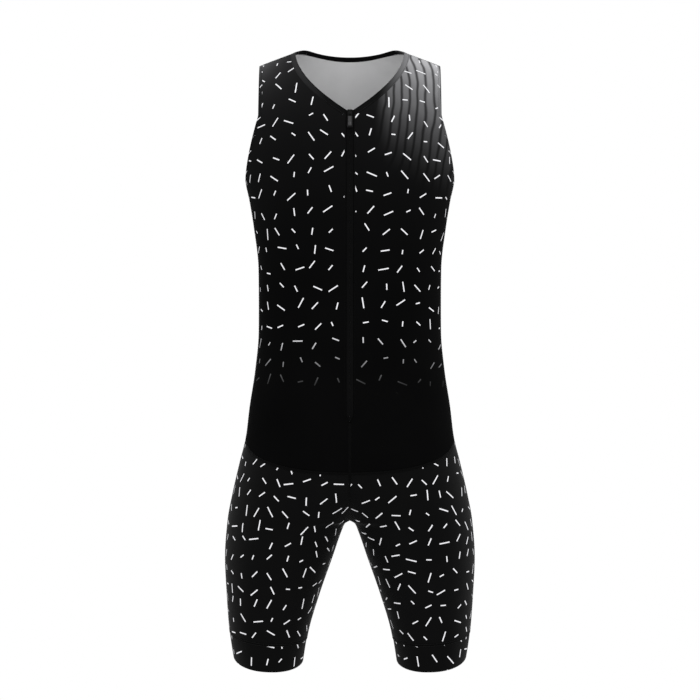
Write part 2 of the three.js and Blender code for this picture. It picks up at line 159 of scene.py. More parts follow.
def dashMask(shader, seed, region):
    across, down, _ = shader.parts(shader.flat())
    cell = dashPrint["cell"][region]
    short, long = dashPrint["halfLength"]
    mask = None
    for layer in range(4):
        u = across / cell + (seed + 0.5 * (layer % 2))
        v = down / cell + (seed + 0.5 * (layer // 2))
        cellU = u.math("FLOOR")
        cellV = v.math("FLOOR")
        key = shader.vector(cellU, cellV, layer + seed * 7.0)
        chance = shader.node("ShaderNodeTexWhiteNoise", {"noise_dimensions": "3D"}, {"Vector": key}, 1)
        strayU, strayV, turn = shader.parts(chance)
        length = (strayU * 7.3 + strayV * 3.9).math("FRACT") * (long - short) + short
        x, y = (
            (at - start - 0.5) * cell - (stray - 0.5) * dashPrint["stray"]
            for at, start, stray in ((u, cellU, strayU), (v, cellV, strayV))
        )
        angle = turn * math.pi
        cosine = angle.math("COSINE")
        sine = angle.math("SINE")
        beyondEnd = abs(x * cosine + y * sine) - length
        beyondSide = abs(y * cosine - x * sine) - dashPrint["halfWidth"]
        outside = beyondEnd.math("SMOOTH_MAX", beyondSide, dashPrint["corner"])
        dash = (0.5 - outside / dashPrint["edge"]).math("ADD", 0.0, clamp=True)
        mask = dash if mask is None else mask.math("MAXIMUM", dash)
    return mask


# Shoulder print and painted highlight: grey at the shoulders that dies away downwards, with wavy dark lines
# in the left one; the left grey is print, the soft grey round both shoulder tips is a painted highlight
shoulderPrintAndHighlight = {
    "tip": (0.145, 0.008, -0.014),
    "slant": 0.5,
    "top": -0.005,
    "leftLevel": 0.325,
    "leftReach": 0.068,
    "leftFade": (0.10, 0.235),
    "innerFade": (0.036, 0.068),
    "ridge": {"level": 0.05, "slope": 0.38, "start": 0.106, "fade": (-0.030, -0.003)},
    "rightHighlightNear": {"level": 0.085, "reach": 0.021},
    "rightHighlightWide": {"level": 0.013, "reach": 0.080},
    "leftHighlightWide": {"level": 0.020, "reach": 0.075},
    "backFade": (0.015, 0.075),
    "cloud": {"scale": 22.0, "low": 0.70, "range": 0.6},
    "lineCentre": (0.012, -0.060),
    "lineSpacing": 0.0126,
    "lineSquash": {"above": 0.34, "below": 0.17},
    "lineWave": {"scale": 14.0, "height": 0.016},
    "lineWidth": (0.02, 0.28),
    "lineDark": 0.84,
}


def shoulderPrintAndHighlightMask(shader):
    place = shader.place()
    x, y, z = shader.parts(place)
    tipX, tipY, tipZ = shoulderPrintAndHighlight["tip"]
    below = (shoulderPrintAndHighlight["top"] - z) + (tipX - x) * shoulderPrintAndHighlight["slant"]
    ridge = shoulderPrintAndHighlight["ridge"]
    fromRidge = z + (x - ridge["start"]) * ridge["slope"]
    left = (below * (-1 / shoulderPrintAndHighlight["leftReach"])).math("EXPONENT") * shoulderPrintAndHighlight["leftLevel"]
    left = left * (1 - shader.smooth(below, *shoulderPrintAndHighlight["leftFade"]))
    left = left + shader.smooth(fromRidge, *ridge["fade"]) * ridge["level"]
    left = left * shader.smooth(x, *shoulderPrintAndHighlight["innerFade"])
    waves = shoulderPrintAndHighlight["lineWave"]
    wave = (shader.noise(place, waves["scale"], 1.5) - 0.5) * waves["height"]
    centreX, centreZ = shoulderPrintAndHighlight["lineCentre"]
    offX = x - centreX
    offZ = z - centreZ
    above = offZ.math("MAXIMUM", 0.0)
    under = offZ.math("MINIMUM", 0.0)
    squash = shoulderPrintAndHighlight["lineSquash"]
    spread = offX * offX + above * above * squash["above"] + under * under * squash["below"]
    fromCentre = spread.math("SQRT")
    turns = (fromCentre + wave) / shoulderPrintAndHighlight["lineSpacing"]
    line = 1 - shader.smooth(abs(turns.math("FRACT") - 0.5), *shoulderPrintAndHighlight["lineWidth"])
    cloud = shoulderPrintAndHighlight["cloud"]
    cloudy = shader.noise(place, cloud["scale"], 2.0) * cloud["range"] + cloud["low"]
    glow = left * (1 - line * shoulderPrintAndHighlight["lineDark"]) * cloudy
    # painted highlight: soft light that dies away round each shoulder tip, wide on the left, near and wide on
    # the right
    for side, names in ((1, ("leftHighlightWide",)), (-1, ("rightHighlightNear", "rightHighlightWide"))):
        away = shader.distance(place, (side * tipX, tipY, tipZ))
        for name in names:
            facts = shoulderPrintAndHighlight[name]
            glow = glow + (away * (-1 / facts["reach"])).math("EXPONENT") * facts["level"]
    return glow * (1 - shader.smooth(y, *shoulderPrintAndHighlight["backFade"]))


# Binding grey near the shoulders, front only: print tone by the left shoulder and a painted highlight by the
# right one
neckPrintAndHighlight = {
    "left": {"fade": (0.042, 0.092), "level": 0.15},
    "right": {"fade": (0.035, 0.090), "level": 0.016},
    "backFade": (-0.005, 0.025),
}


def bindingPrintAndHighlight(shader):  # only near the shoulders, and only in front
    x, y, _ = shader.parts(shader.place())
    left = shader.ramp(x, *neckPrintAndHighlight["left"]["fade"])
    right = shader.ramp(x * -1, *neckPrintAndHighlight["right"]["fade"])
    front = 1 - shader.smooth(y, *neckPrintAndHighlight["backFade"])
    return (left * left * neckPrintAndHighlight["left"]["level"] + right * neckPrintAndHighlight["right"]["level"]) * front


# Stretch knit: fine wales and courses that show only close to
knit = {"wale": 0.0011, "course": 0.0009, "strength": 0.35, "height": 0.00006}


def knitHeight(shader):
    across, down, _ = shader.parts(shader.flat())
    wales = (across * (2 * math.pi / knit["wale"])).math("SINE")
    courses = (down * (2 * math.pi / knit["course"])).math("SINE")
    return wales * courses * 0.5 + 0.5


clothLook = {
    # the legs' black is a little lighter than the torso's: painted sheen
    "black": {"torso": 0.0016, "legs": 0.0019},
    "white": 0.62,
    "roughness": 0.74,
    "fade": (-0.541, -0.434),
    "inside": 0.53,
    "gloss": {"torso": 0.003, "legs": 0.022},
    "sheen": {"torso": 0.001, "legs": 0.026},
    "toneScale": 9.0,
    "dotGap": 0.006,  # rubber dots inside the grippers
    "dotEdge": (0.45, 0.62),
}
tapeLook = {"rib": 0.0009, "roughness": 0.78, "gloss": 0.02, "sheen": 0.006}
threadTwist = 0.0007
metalGrain = {"cloud": 900.0, "worn": 260.0, "wornFrom": (0.56, 0.72)}


def printedCloth(name, seed, region="torso"):
    shader = Shader(name)
    black = clothLook["black"][region]
    place = shader.place()
    dash = dashMask(shader, seed, region)
    tone = shader.noise(place, clothLook["toneScale"])
    ground = shader.mix(tone, grey(black * 1.3), grey(black * 0.7))
    if region == "torso":
        x, y, z = shader.parts(place)
        left = shader.ramp(z, *clothLook["fade"])
        clear = shader.smooth(abs(x), *dashPrint["zipMargin"]).math("MAXIMUM", shader.ramp(y, 0.0, 0.001))
        dash = dash * left * left * clear
        # grey print on the left shoulder, with a painted highlight round both shoulder tips
        ground = shader.mix(shoulderPrintAndHighlightMask(shader), ground, grey(1.0))
    rough = shader.noise(place, 160.0) * 0.16 + (clothLook["roughness"] - 0.08)
    return shader.finish(
        Base_Color=shader.mix(dash, ground, grey(clothLook["white"])),
        Roughness=rough,
        Specular_IOR_Level=clothLook["gloss"][region],
        Sheen_Weight=clothLook["sheen"][region],
        Sheen_Roughness=0.4,
        Normal=shader.bump(knitHeight(shader), knit["strength"], knit["height"]),
    )


def insideCloth(name, dots=False):
    shader = Shader(name)
    place = shader.place()
    across, down, _ = shader.parts(shader.flat())
    tone = shader.noise(place, 30.0) * 0.14 + 0.90
    level = tone * clothLook["inside"]
    colour = shader.node("ShaderNodeCombineColor", {}, {0: level, 1: level, 2: level * 1.01})
    height = knitHeight(shader)
    rough = 0.85
    if dots:
        wide = 2 * math.pi / clothLook["dotGap"]
        bead = (across * wide).math("SINE") * (down * wide).math("SINE")
        grip = shader.smooth(abs(bead), *clothLook["dotEdge"])
        colour = shader.mix(grip, grey(0.03), grey(0.10))
        height = height * 0.1 + grip
        rough = 0.8 - grip * 0.45
    return shader.finish(
        Base_Color=colour,
        Roughness=rough,
        Specular_IOR_Level=0.2,
        Sheen_Weight=0.1,
        Normal=shader.bump(height, 0.5, 0.00018),
    )


def tapeCloth(name, level, printAndHighlight=False):
    shader = Shader(name)
    across, down, _ = shader.parts(shader.flat())
    place = shader.place()
    rib = abs(((across + down * 0.5) * (math.pi / tapeLook["rib"])).math("SINE"))
    colour = shader.mix(shader.noise(place, 45.0), grey(level * 1.3), grey(level * 0.7))
    # grey by the shoulders: print tone on the left, painted highlight on the right
    if printAndHighlight:
        colour = shader.mix(bindingPrintAndHighlight(shader), colour, grey(1.0))
    return shader.finish(
        Base_Color=colour,
        Roughness=tapeLook["roughness"] - rib * 0.12,
        Specular_IOR_Level=tapeLook["gloss"],
        Sheen_Weight=tapeLook["sheen"],
        Normal=shader.bump(rib, 0.5, 0.00012),
    )


def threadLook(name, level):
    shader = Shader(name)
    along, _, _ = shader.parts(shader.flat())
    twist = abs((along * (math.pi / threadTwist)).math("SINE"))
    return shader.finish(
        # painted shade: the thread is darker in the grooves of its twist
        Base_Color=shader.mix(twist, grey(level * 0.6), grey(level)),
        Roughness=0.6 - twist * 0.1,
        Specular_IOR_Level=0.05,
        Normal=shader.bump(twist, 0.4, 0.00008),
    )


def paintedMetal(name, low, high, roughness, gloss):
    shader = Shader(name)
    place = shader.place()
    cloud = shader.noise(place, metalGrain["cloud"], 4.0)
    worn = shader.smooth(shader.noise(place, metalGrain["worn"], 5.0), *metalGrain["wornFrom"])
    return shader.finish(
        Base_Color=shader.mix(worn, grey(low), grey(high)),
        Metallic=0.5,
        Specular_IOR_Level=gloss,
        Roughness=cloud * 0.2 + roughness,
        Normal=shader.bump(cloud, 0.15, 0.00005),
    )


def coilLook(name):
    shader = Shader(name)
    cloud = shader.noise(shader.place(), 700.0)
    return shader.finish(
        Base_Color=shader.mix(cloud, grey(0.006), grey(0.014)),
        Roughness=0.38 + cloud * 0.1,
        Specular_IOR_Level=0.4,
    )


materials = {
    "inside": insideCloth("knit_inside"),
    "gripInside": insideCloth("gripper_inside", dots=True),
    "neckTape": tapeCloth("binding_tape", 0.0024, printAndHighlight=True),
    "zipTape": tapeCloth("zip_tape_weave", 0.0016),
    "seamTape": tapeCloth("seam_cover", 0.0011),
    "thread": threadLook("thread_black", 0.0015),
    "threadGrey": threadLook("thread_grey", 0.010),
    "coil": coilLook("zip_coil_nylon"),
    "metal": paintedMetal("slider_paint", 0.003, 0.010, 0.38, 0.10),
    "pullFace": paintedMetal("pull_face", 0.026, 0.048, 0.42, 0.25),
}
printSeeds = {
    "torso": {"front_left": 0.0, "front_right": 11.0, "back": 23.0, "armhole_band": 31.0},
    "legs": {
        "short_front_left": 37.0,
        "short_front_right": 43.0,
        "short_back_left": 53.0,
        "short_back_right": 61.0,
        "gripper_left": 71.0,
        "gripper_right": 83.0,
    },
}
for region, seeds in printSeeds.items():
    for part, seed in seeds.items():
        materials[part] = printedCloth(f"knit_{part}", seed, region)
print("stage: materials made")


def rowsOf(names, table):
    return [dict(zip(names, row)) for row in table]


# The filled form, in millimetres: half width and depth at each height, and the legs
bodyRows = rowsOf(
    ("z", "half", "front", "back"),
    [
        (20, 163, 78, 84),
        (-60, 166, 92, 95),
        (-110, 168, 103, 102),
        (-197, 166.4, 112, 108),
        (-230, 160, 114, 106),
        (-270, 153.4, 110.5, 102),
        (-340, 145.5, 103, 93),
        (-400, 145, 97, 84),
        (-440, 145.2, 96, 84),
        (-500, 150.6, 97.5, 90),
        (-560, 159.8, 99.5, 105),
        (-607, 165.5, 102, 116.5),
        (-650, 176, 104, 122),
        (-700, 187.5, 101, 119),
        (-741, 195, 93, 109),
        (-800, 199.2, 86, 92),
        (-860, 196.5, 78, 80),
        (-920, 192, 68, 69),
        (-990, 181, 61, 59),
    ],
)
legRows = rowsOf(
    ("z", "gap", "lean"),
    [
        (-741, 0, 0),
        (-746, 8.5, 0),
        (-757, 13.5, 0),
        (-800, 28.5, 1),
        (-860, 49.5, 3),
        (-920, 67, 4.5),
        (-990, 78.5, 5),
    ],
)
form = {
    "shoulderTipX": 145,
    "shoulderTipZ": -14.5,
    "shoulderSlope": 0.4,
    "shoulderRounding": 40,
    "shoulderY": 8,
    "neckHalfWidth": 87,
    "neckDepthFront": 106,
    "neckDepthBack": 23.3,
    "neckBow": 1.86,
    "underarmZ": -197,
    "armFlareZ": -100,
    "chestRowZ": -215,
    "legsPartFrom": -620,
    "crotchZ": -741,
    "sectionPower": 2.2,
    "rollDepth": {"front": 140, "back": 115},
    "zipHalf": 6,
    "zipTopZ": -97.5,
    "sliderZ": -100.7,
    "coilTopZ": -107,
    "zipEndZ": -575,
    "neckTape": 8.3,
    "neckStand": {"height": 3, "x": 72, "spread": 15},
    "armTape": 6,
    "yokeShare": 5 / 8,
    "seatShare": 1 / 3,
}
hipSeam = {"side": -607, "front": -662, "back": -603}
gripperSeam = {"inner": -928, "outer": -915, "frontDip": 9, "backDip": -5}
hem = {"inner": -965, "outer": -957, "frontDip": 14, "backDip": -9}
clothWall = 1.2
gripperWall = clothWall + 0.4
quarter = math.pi / 2


def mix(low, high, t):
    return low + (high - low) * t


def clamp(value, low, high):
    return min(max(value, low), high)


def smoothStep(t):
    return t * t * (3 - 2 * t)


def curveThrough(rows, column):  # smooth, and never past its rows
    gaps = [(b[column] - a[column]) / (b["z"] - a["z"]) for a, b in zip(rows, rows[1:])]
    slopes = []
    for i in range(len(rows)):
        before = gaps[max(i - 1, 0)]
        after = gaps[min(i, len(gaps) - 1)]
        slopes.append(2 * before * after / (before + after) if before * after > 0 else 0)

    def valueAt(z):
        i = next((n for n in range(1, len(rows)) if z >= rows[n]["z"]), len(rows) - 1) - 1
        width = rows[i + 1]["z"] - rows[i]["z"]
        t = clamp((z - rows[i]["z"]) / width, 0, 1)
        value = mix(rows[i][column], rows[i + 1][column], smoothStep(t))
        return value + width * t * (1 - t) * (slopes[i] * (1 - t) - slopes[i + 1] * t)

    return valueAt


bodyHalf = curveThrough(bodyRows, "half")
bodyDepth = {"front": curveThrough(bodyRows, "front"), "back": curveThrough(bodyRows, "back")}
legGap = curveThrough(legRows, "gap")
legLean = curveThrough(legRows, "lean")


def softAbs(x):
    return math.hypot(x, form["shoulderRounding"])


def ridgeZ(x):
    return form["shoulderTipZ"] + form["shoulderSlope"] * (softAbs(form["shoulderTipX"]) - softAbs(x))


def roundPower(value):
    return abs(value) ** (2 / form["sectionPower"])


def angleAtX(x, z):
    return math.asin(clamp(x / bodyHalf(z), 0, 1) ** (form["sectionPower"] / 2))


def sectionAt(z):  # one half of the section: centre, outer reach, inner reach, angle at the middle plane
    half = bodyHalf(z)
    if z < form["crotchZ"]:
        gap = legGap(z)
        return (half + gap) / 2, (half - gap) / 2, (half - gap) / 2, quarter
    parted = clamp((form["legsPartFrom"] - z) / (form["legsPartFrom"] - form["crotchZ"]), 0, 1)
    centre = half / 2 * parted**0.8
    fold = math.sqrt(max(1 - parted**2.7, 0))
    cut = math.acos(fold ** (form["sectionPower"] / 2))
    inner = centre / roundPower(math.sin(cut)) if parted > 0 else half
    return centre, half - centre, inner, cut


def bodyPoint(face, along, z, rise=None):  # along: 0 at the middle plane, 1 at the side
    centre, outer, inner, cut = sectionAt(z)
    angle = mix(-cut, quarter, along)
    x = centre + (-inner if angle < 0 else outer) * roundPower(math.sin(angle))
    height = z + (rise(x) if rise else 0)
    drop = clamp((ridgeZ(x) - height) / form["rollDepth"][face], 0, 1)
    roll = math.sqrt(1 - (1 - drop) ** 2)
    depth = bodyDepth[face](height) * roundPower(math.cos(angle)) * (-1 if face == "front" else 1)
    depth += legLean(min(height, form["crotchZ"]))
    return Vector((x, mix(form["shoulderY"], depth, roll), height))


def armholeEdge(t, inset):
    topX = form["shoulderTipX"] - inset
    bottomZ = form["underarmZ"] - inset
    z = mix(ridgeZ(topX), bottomZ, smoothStep(t))
    flare = clamp((z - bottomZ) / (form["armFlareZ"] - bottomZ), 0, 1)
    topAngle = angleAtX(topX, max(z, form["armFlareZ"]))
    return z, 1 - (1 - topAngle / quarter) * flare ** (2 / 3), topX


def neckEdge(t, inset):
    half = form["neckHalfWidth"] + inset
    lowest = (1 - (form["zipHalf"] + 0.1) / half) ** (1 / form["neckBow"])
    down = lowest * t**1.4
    return ridgeZ(half) - (form["neckDepthFront"] + inset) * down, half * (1 - down ** form["neckBow"])


def easeTo(value, low, high):
    return (math.cos(low * quarter) - math.cos(value * quarter)) / (
        math.cos(low * quarter) - math.cos(high * quarter)
    )


def frontPoint(across, down, neckShare=1.0, armInset=0.0):  # neckShare: how much of its tape is left off
    share = form["yokeShare"]
    below = max(down - 1, 0)
    neckT = min(down / share, 1)
    neckZ, neckX = neckEdge(neckT, form["neckTape"] * neckShare)
    armZ, armAlong, armX = armholeEdge(min(down, 1), armInset)
    chest = clamp((down - share) / (1 - share), 0, 1)
    innerZ = mix(mix(neckZ, form["chestRowZ"], chest), hipSeam["front"], below)
    outerZ = mix(armZ, hipSeam["side"], below)
    closing = clamp((form["zipEndZ"] - innerZ) / 6, 0, 1)
    innerX = mix(neckX, 0, smoothStep(closing))
    innerAlong = angleAtX(innerX, innerZ) / quarter
    along = mix(innerAlong, armAlong, across)
    ease = easeTo(along, innerAlong, armAlong)
    follow = max(1 - down, 0)
    line = mix(ridgeZ(neckX), ridgeZ(armX), ease)
    return bodyPoint("front", along, mix(innerZ, outerZ, ease), lambda x: follow * (ridgeZ(x) - line))


def backTopZ(x, inset):
    reach = clamp(x / (form["neckHalfWidth"] + inset), 0, 1)
    return ridgeZ(x) - (form["neckDepthBack"] + 0.8 * inset) * (1 - reach * reach) ** 2


def backPoint(across, down, neckInset=0.0, armInset=0.0):
    armZ, armAlong, armX = armholeEdge(min(down, 1), armInset)
    below = max(down - 1, 0)
    yoke = smoothStep(min(down, 1))
    innerZ = mix(mix(backTopZ(0, neckInset), form["chestRowZ"], yoke), hipSeam["back"], below)
    outerZ = mix(armZ, hipSeam["side"], below)
    along = across * armAlong
    ease = easeTo(along, 0, armAlong)
    follow = max(1 - down, 0)
    line = mix(backTopZ(0, neckInset), backTopZ(armX, neckInset), ease)
    return bodyPoint(
        "back", along, mix(innerZ, outerZ, ease), lambda x: follow * (backTopZ(x, neckInset) - line)
    )


def shortPoint(face, across, down):
    share = form["seatShare"]
    seat = math.sin(min(down / share, 1) * quarter)
    leg = max((down - share) / (1 - share), 0)
    innerZ = mix(mix(hipSeam[face], form["crotchZ"], seat), gripperSeam["inner"], leg**1.4)
    outerZ = mix(hipSeam["side"], gripperSeam["outer"], down)
    ease = 1 - math.cos(across * quarter)
    dip = gripperSeam[face + "Dip"] * leg * math.sin(across * math.pi)
    return bodyPoint(face, across, mix(innerZ, outerZ, ease) - dip)


def gripperPoint(around, down):  # around: 0 at the inseam, 1 at the side, 2 at the inseam again
    face = "front" if around <= 1 else "back"
    across = around if around <= 1 else 2 - around
    ease = 1 - math.cos(across * quarter)
    bow = math.sin(across * math.pi)
    top = mix(gripperSeam["inner"], gripperSeam["outer"], ease) - gripperSeam[face + "Dip"] * bow
    bottom = mix(hem["inner"], hem["outer"], ease) - hem[face + "Dip"] * bow
    return bodyPoint(face, across, mix(top, bottom, down))


def outward(point, normal):  # turns a normal away from the leg's or the body's middle
    away = (point.x - sectionAt(point.z)[0]) * normal.x + point.y * normal.y
    return -normal if away < 0 else normal


def normalOn(surface, a, b, limits=(1, 2)):  # limits: how far each way the surface is known
    step = 1e-3
    alongA = surface(min(a + step, limits[0]), b) - surface(max(a - step, 0), b)
    alongB = surface(a, min(b + step, limits[1])) - surface(a, max(b - step, 0))
    return outward(surface(a, b), alongA.cross(alongB).normalized())


# Meshes: every sheet, band and thread starts as a grid whose points are then moved into place
evening = {"rounds": 1200, "rowStep": 5, "columnStep": 4}


def finishMesh(bm, name, looks, body="suit"):
    mesh = bpy.data.meshes.new(name)
    bm.to_mesh(mesh)
    bm.free()
    piece = bpy.data.objects.new(name, mesh)
    bpy.context.scene.collection.objects.link(piece)
    for look in looks:
        mesh.materials.append(look)
    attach(piece, body)
    return piece


def pullEven(solid, flat, rounds):  # springs along and across a grid bring its flat pattern to true lengths
    whole = slice(None)
    low, high = slice(None, -1), slice(1, None)
    links = [
        ((whole, low), (whole, high)),
        ((low, whole), (high, whole)),
        ((low, low), (high, high)),
        ((low, high), (high, low)),
    ]
    rests = [np.linalg.norm(solid[b] - solid[a], axis=-1) for a, b in links]
    pulls = np.zeros(flat.shape[:2])
    for a, b in links:
        pulls[a] += 1
        pulls[b] += 1
    for _ in range(rounds):
        move = np.zeros_like(flat)
        for (a, b), rest in zip(links, rests):
            gap = flat[b] - flat[a]
            length = np.maximum(np.linalg.norm(gap, axis=-1), 1e-6)
            push = gap * ((length - rest) / length / 2)[..., None]
            move[a] += push
            move[b] -= push
        flat = flat + move / pulls[..., None]
    return flat


def evenOut(points, u, v):  # evens every few rows and columns, then spreads their moves over the rest
    solid = np.array([[tuple(point) for point in row] for row in points])
    flat = np.stack([np.array(u), np.array(v)], axis=-1)
    rows, columns = flat.shape[:2]
    down = np.linspace(0, rows - 1, rows // evening["rowStep"] + 1).round().astype(int)
    across = np.linspace(0, columns - 1, columns // evening["columnStep"] + 1).round().astype(int)
    wide = np.ix_(down, across)
    shift = pullEven(solid[wide], flat[wide], evening["rounds"]) - flat[wide]
    for k in range(2):
        rowShift = [np.interp(np.arange(columns), across, row) for row in shift[..., k]]
        flat[..., k] += np.array([np.interp(np.arange(rows), down, column) for column in zip(*rowShift)]).T
    return flat[..., 0], flat[..., 1]


# The grid's UV map, "flat", holds the cloth as cut: from lengths along the rows, or from flatSpot
def gridMesh(
    columns, rows, place, side=1, merge=False, turnOut=True, flatStart=None, flatSpot=None, evened=None
):
    bm = bmesh.new()
    bmesh.ops.create_grid(bm, x_segments=columns, y_segments=rows, size=1)
    spots = {}
    for vert in bm.verts:
        i = round((vert.co.x + 1) / 2 * columns)
        j = round((1 - vert.co.y) / 2 * rows)
        spots[vert] = (i, j)
    points = [[place(i / columns, j / rows) for i in range(columns + 1)] for j in range(rows + 1)]
    u = [[0.0] * (columns + 1) for _ in points]
    v = [[0.0] * (columns + 1) for _ in points]
    for j, row in enumerate(points):
        u[j][0] = flatStart(row[0]) if flatStart else 0.0
        for i in range(1, columns + 1):
            u[j][i] = u[j][i - 1] + (row[i] - row[i - 1]).length
        if j:
            for i in range(columns + 1):
                step = (row[i] - points[j - 1][i]).length_squared - (u[j][i] - u[j - 1][i]) ** 2
                v[j][i] = v[j - 1][i] + math.sqrt(max(step, 0))
    if flatSpot:
        for j in range(rows + 1):
            for i in range(columns + 1):
                u[j][i], v[j][i] = flatSpot(i / columns, j / rows)
    if evened == "fromHeight":
        middle = columns // 2
        u = [[value - row[middle] for value in row] for row in u]
        v = [[-point.z for point in row] for row in points]
    if evened:
        u, v = evenOut(points, u, v)
    flat = bm.loops.layers.uv.new("flat")
    for face in bm.faces:
        face.smooth = True
        for loop in face.loops:
            i, j = spots[loop.vert]
            loop[flat].uv = (u[j][i] * mm * side, -v[j][i] * mm)
    for vert, (i, j) in spots.items():
        x, y, z = points[j][i]
        vert.co = Vector((x * side, y, z)) * mm
    if merge:
        bmesh.ops.remove_doubles(bm, verts=bm.verts, dist=2e-6)
    bm.normal_update()
    if turnOut:
        bm.faces.ensure_lookup_table()
        face = bm.faces[len(bm.faces) // 2]
        spot = face.calc_center_median() / mm
        spot.x *= side
        normal = Vector((face.normal.x * side, face.normal.y, face.normal.z))
        if (outward(spot, normal) - normal).length > 0.1:
            bmesh.ops.reverse_faces(bm, faces=bm.faces)
    return bm


def smoothFaces(bm):
    for face in bm.faces:
        face.smooth = True


def roundEdges(bm, edges, width, segments=3, **more):
    rounding = {"segments": segments, "profile": 0.5, "affect": "EDGES", "material": -1, **more}
    bmesh.ops.bevel(bm, geom=edges, offset=width * mm, **rounding)


def addWall(piece, thickness, even=True):
    wall = piece.modifiers.new("wall", "SOLIDIFY")
    wall.thickness = thickness * mm
    wall.offset = -1
    wall.use_even_offset = even
    wall.use_rim = True
    wall.material_offset = 1
    wall.material_offset_rim = 0
    return piece


# Panels
panelGrid = {
    "front": (64, 150),
    "back": (128, 130),
    "short": (60, 84),
    "gripper": (144, 14),
    "tuckUnder": 2.0,  # how far a panel's edge runs under its binding
    "weltHeight": 0.75,  # folded edge beside the zip
    "weltWidth": (7.5, 12.0),
    "zipRow": 1.6,  # the stitches' way from the zip's edge
}


def addWelt(point, normal):  # the fronts' folded edges stand proud beside the zip
    if point.z < form["zipEndZ"] - 6:
        return point
    inner, outer = panelGrid["weltWidth"]
    height = panelGrid["weltHeight"] * (1 - smoothStep(clamp((point.x - inner) / (outer - inner), 0, 1)))
    fadeEnd = smoothStep(clamp((point.z - form["zipEndZ"] + 6) / 12, 0, 1))
    return point + normal * height * fadeEnd


def frontPanel(side, word):
    columns, rows = panelGrid["front"]
    neckShare = 1 - panelGrid["tuckUnder"] / form["neckTape"]
    armInset = form["armTape"] - panelGrid["tuckUnder"]

    def surface(a, b):
        return frontPoint(a, b, neckShare, armInset)

    def place(a, b):
        across = a**1.35
        down = 2 * b
        point = surface(across, down)
        if point.x < panelGrid["weltWidth"][1]:
            point = addWelt(point, normalOn(surface, across, down))
        return point

    bm = gridMesh(columns, rows, place, side, flatStart=lambda point: point.x, evened="fromLengths")
    looks = [materials[f"front_{word}"], materials["inside"]]
    piece = addWall(finishMesh(bm, f"front_panel_{word}", looks), clothWall)
    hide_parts(f"front_{word}")
    return piece


def backPanel():
    columns, rows = panelGrid["back"]
    neckInset = form["neckTape"] - panelGrid["tuckUnder"]
    armInset = form["armTape"] - panelGrid["tuckUnder"]

    def place(a, b):
        across = abs(2 * a - 1)
        point = backPoint(across, 2 * b, neckInset, armInset)
        point.x *= 1 if a >= 0.5 else -1
        return point

    bm = gridMesh(columns, rows, place, evened="fromHeight")
    piece = addWall(finishMesh(bm, "back_panel", [materials["back"], materials["inside"]]), clothWall)
    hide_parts("back")
    return piece


def shortPanel(face, side, word):
    columns, rows = panelGrid["short"]

    def flatSpot(a, b):
        z = shortPoint(face, a, b).z
        path = [bodyPoint(face, mix(1, a, n / 24), z) for n in range(25)]
        return -sum((high - low).length for low, high in zip(path, path[1:])), -z

    def place(a, b):
        return shortPoint(face, a, b)

    bm = gridMesh(columns, rows, place, side, flatSpot=flatSpot, evened="fromSpots")
    looks = [materials[f"short_{face}_{word}"], materials["inside"]]
    piece = addWall(finishMesh(bm, f"short_panel_{face}_{word}", looks), clothWall, even=False)
    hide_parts(f"short_{face}_{word}")
    return piece


def gripperBand(side, word):
    columns, rows = panelGrid["gripper"]
    bm = gridMesh(columns, rows, lambda a, b: gripperPoint(2 * a, b), side, merge=True)
    looks = [materials[f"gripper_{word}"], materials["gripInside"]]
    piece = addWall(finishMesh(bm, f"gripper_band_{word}", looks), gripperWall)
    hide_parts(f"leg_gripper_{word}")
    return piece


cloth = {f"front_{word}": frontPanel(side, word) for side, word in sides}
cloth["back"] = backPanel()
for face in ("front", "back"):
    for side, word in sides:
        cloth[f"short_{face}_{word}"] = shortPanel(face, side, word)
for side, word in sides:
    cloth[f"gripper_{word}"] = gripperBand(side, word)
print("stage: panels made")


# Bands and threads run along stations: a point, the way into the cloth and the way out of it
def stationsOf(samples, spacing, ring=False):
    points = [point for point, _ in samples]
    lengths = [0.0]
    for a, b in zip(points, points[1:]):
        lengths.append(lengths[-1] + (b - a).length)
    count = max(int(lengths[-1] / spacing), 2)
    spots = []
    at = 0
    for n in range(count + 1):
        target = lengths[-1] * n / count
        while at < len(lengths) - 2 and lengths[at + 1] < target:
            at += 1
        t = (target - lengths[at]) / max(lengths[at + 1] - lengths[at], 1e-9)
        normal = samples[at][1].lerp(samples[at + 1][1], t).normalized()
        spots.append((points[at].lerp(points[at + 1], t), normal))
    stations = []
    last = len(spots) - 1
    for n, (point, normal) in enumerate(spots):
        before = spots[n - 1 if n else (last - 1 if ring else 0)][0]
        after = spots[n + 1 if n < last else (1 if ring else last)][0]
        inward = normal.cross(after - before).normalized()
        stations.append((point, inward, normal))
    return stations


def sweepBand(name, stations, profile, look, ring=False, bend=None):
    closed = profile + [profile[0]]

    def place(a, b):
        n = round(a * (len(stations) - 1))
        k = round(b * (len(closed) - 1))
        across, height = closed[k]
        point, inward, normal = stations[n]
        offset = bend(n, across) if bend else inward * across
        return point + offset + normal * height

    bm = gridMesh(len(stations) - 1, len(closed) - 1, place, merge=True, turnOut=False)
    if not ring:
        ends = [edge for edge in bm.edges if edge.is_boundary]
        bmesh.ops.holes_fill(bm, edges=ends, sides=0)
    bmesh.ops.recalc_face_normals(bm, faces=bm.faces)
    return finishMesh(bm, name, [look])


binding = {"lift": 0.55, "under": 0.45, "neckWidth": 8.0, "neckRow": 0.82, "armRow": 0.78, "rowSink": 0.12}


def bindingProfile(width):  # wraps the cloth's edge, from inside the fold round to the back
    lift = binding["lift"]
    back = -clothWall - binding["under"]
    return [
        (width, 0.02),
        (width - 0.5, lift * 0.75),
        (width * 0.72, lift),
        (width * 0.35, lift * 0.9),
        (1.1, lift),
        (0.35, lift * 0.5),
        (0.0, -clothWall / 2),
        (0.35, back + 0.35),
        (1.1, back),
        (width * 0.5, back - 0.05),
        (width - 0.5, back + 0.1),
        (width, -clothWall - 0.02),
    ]


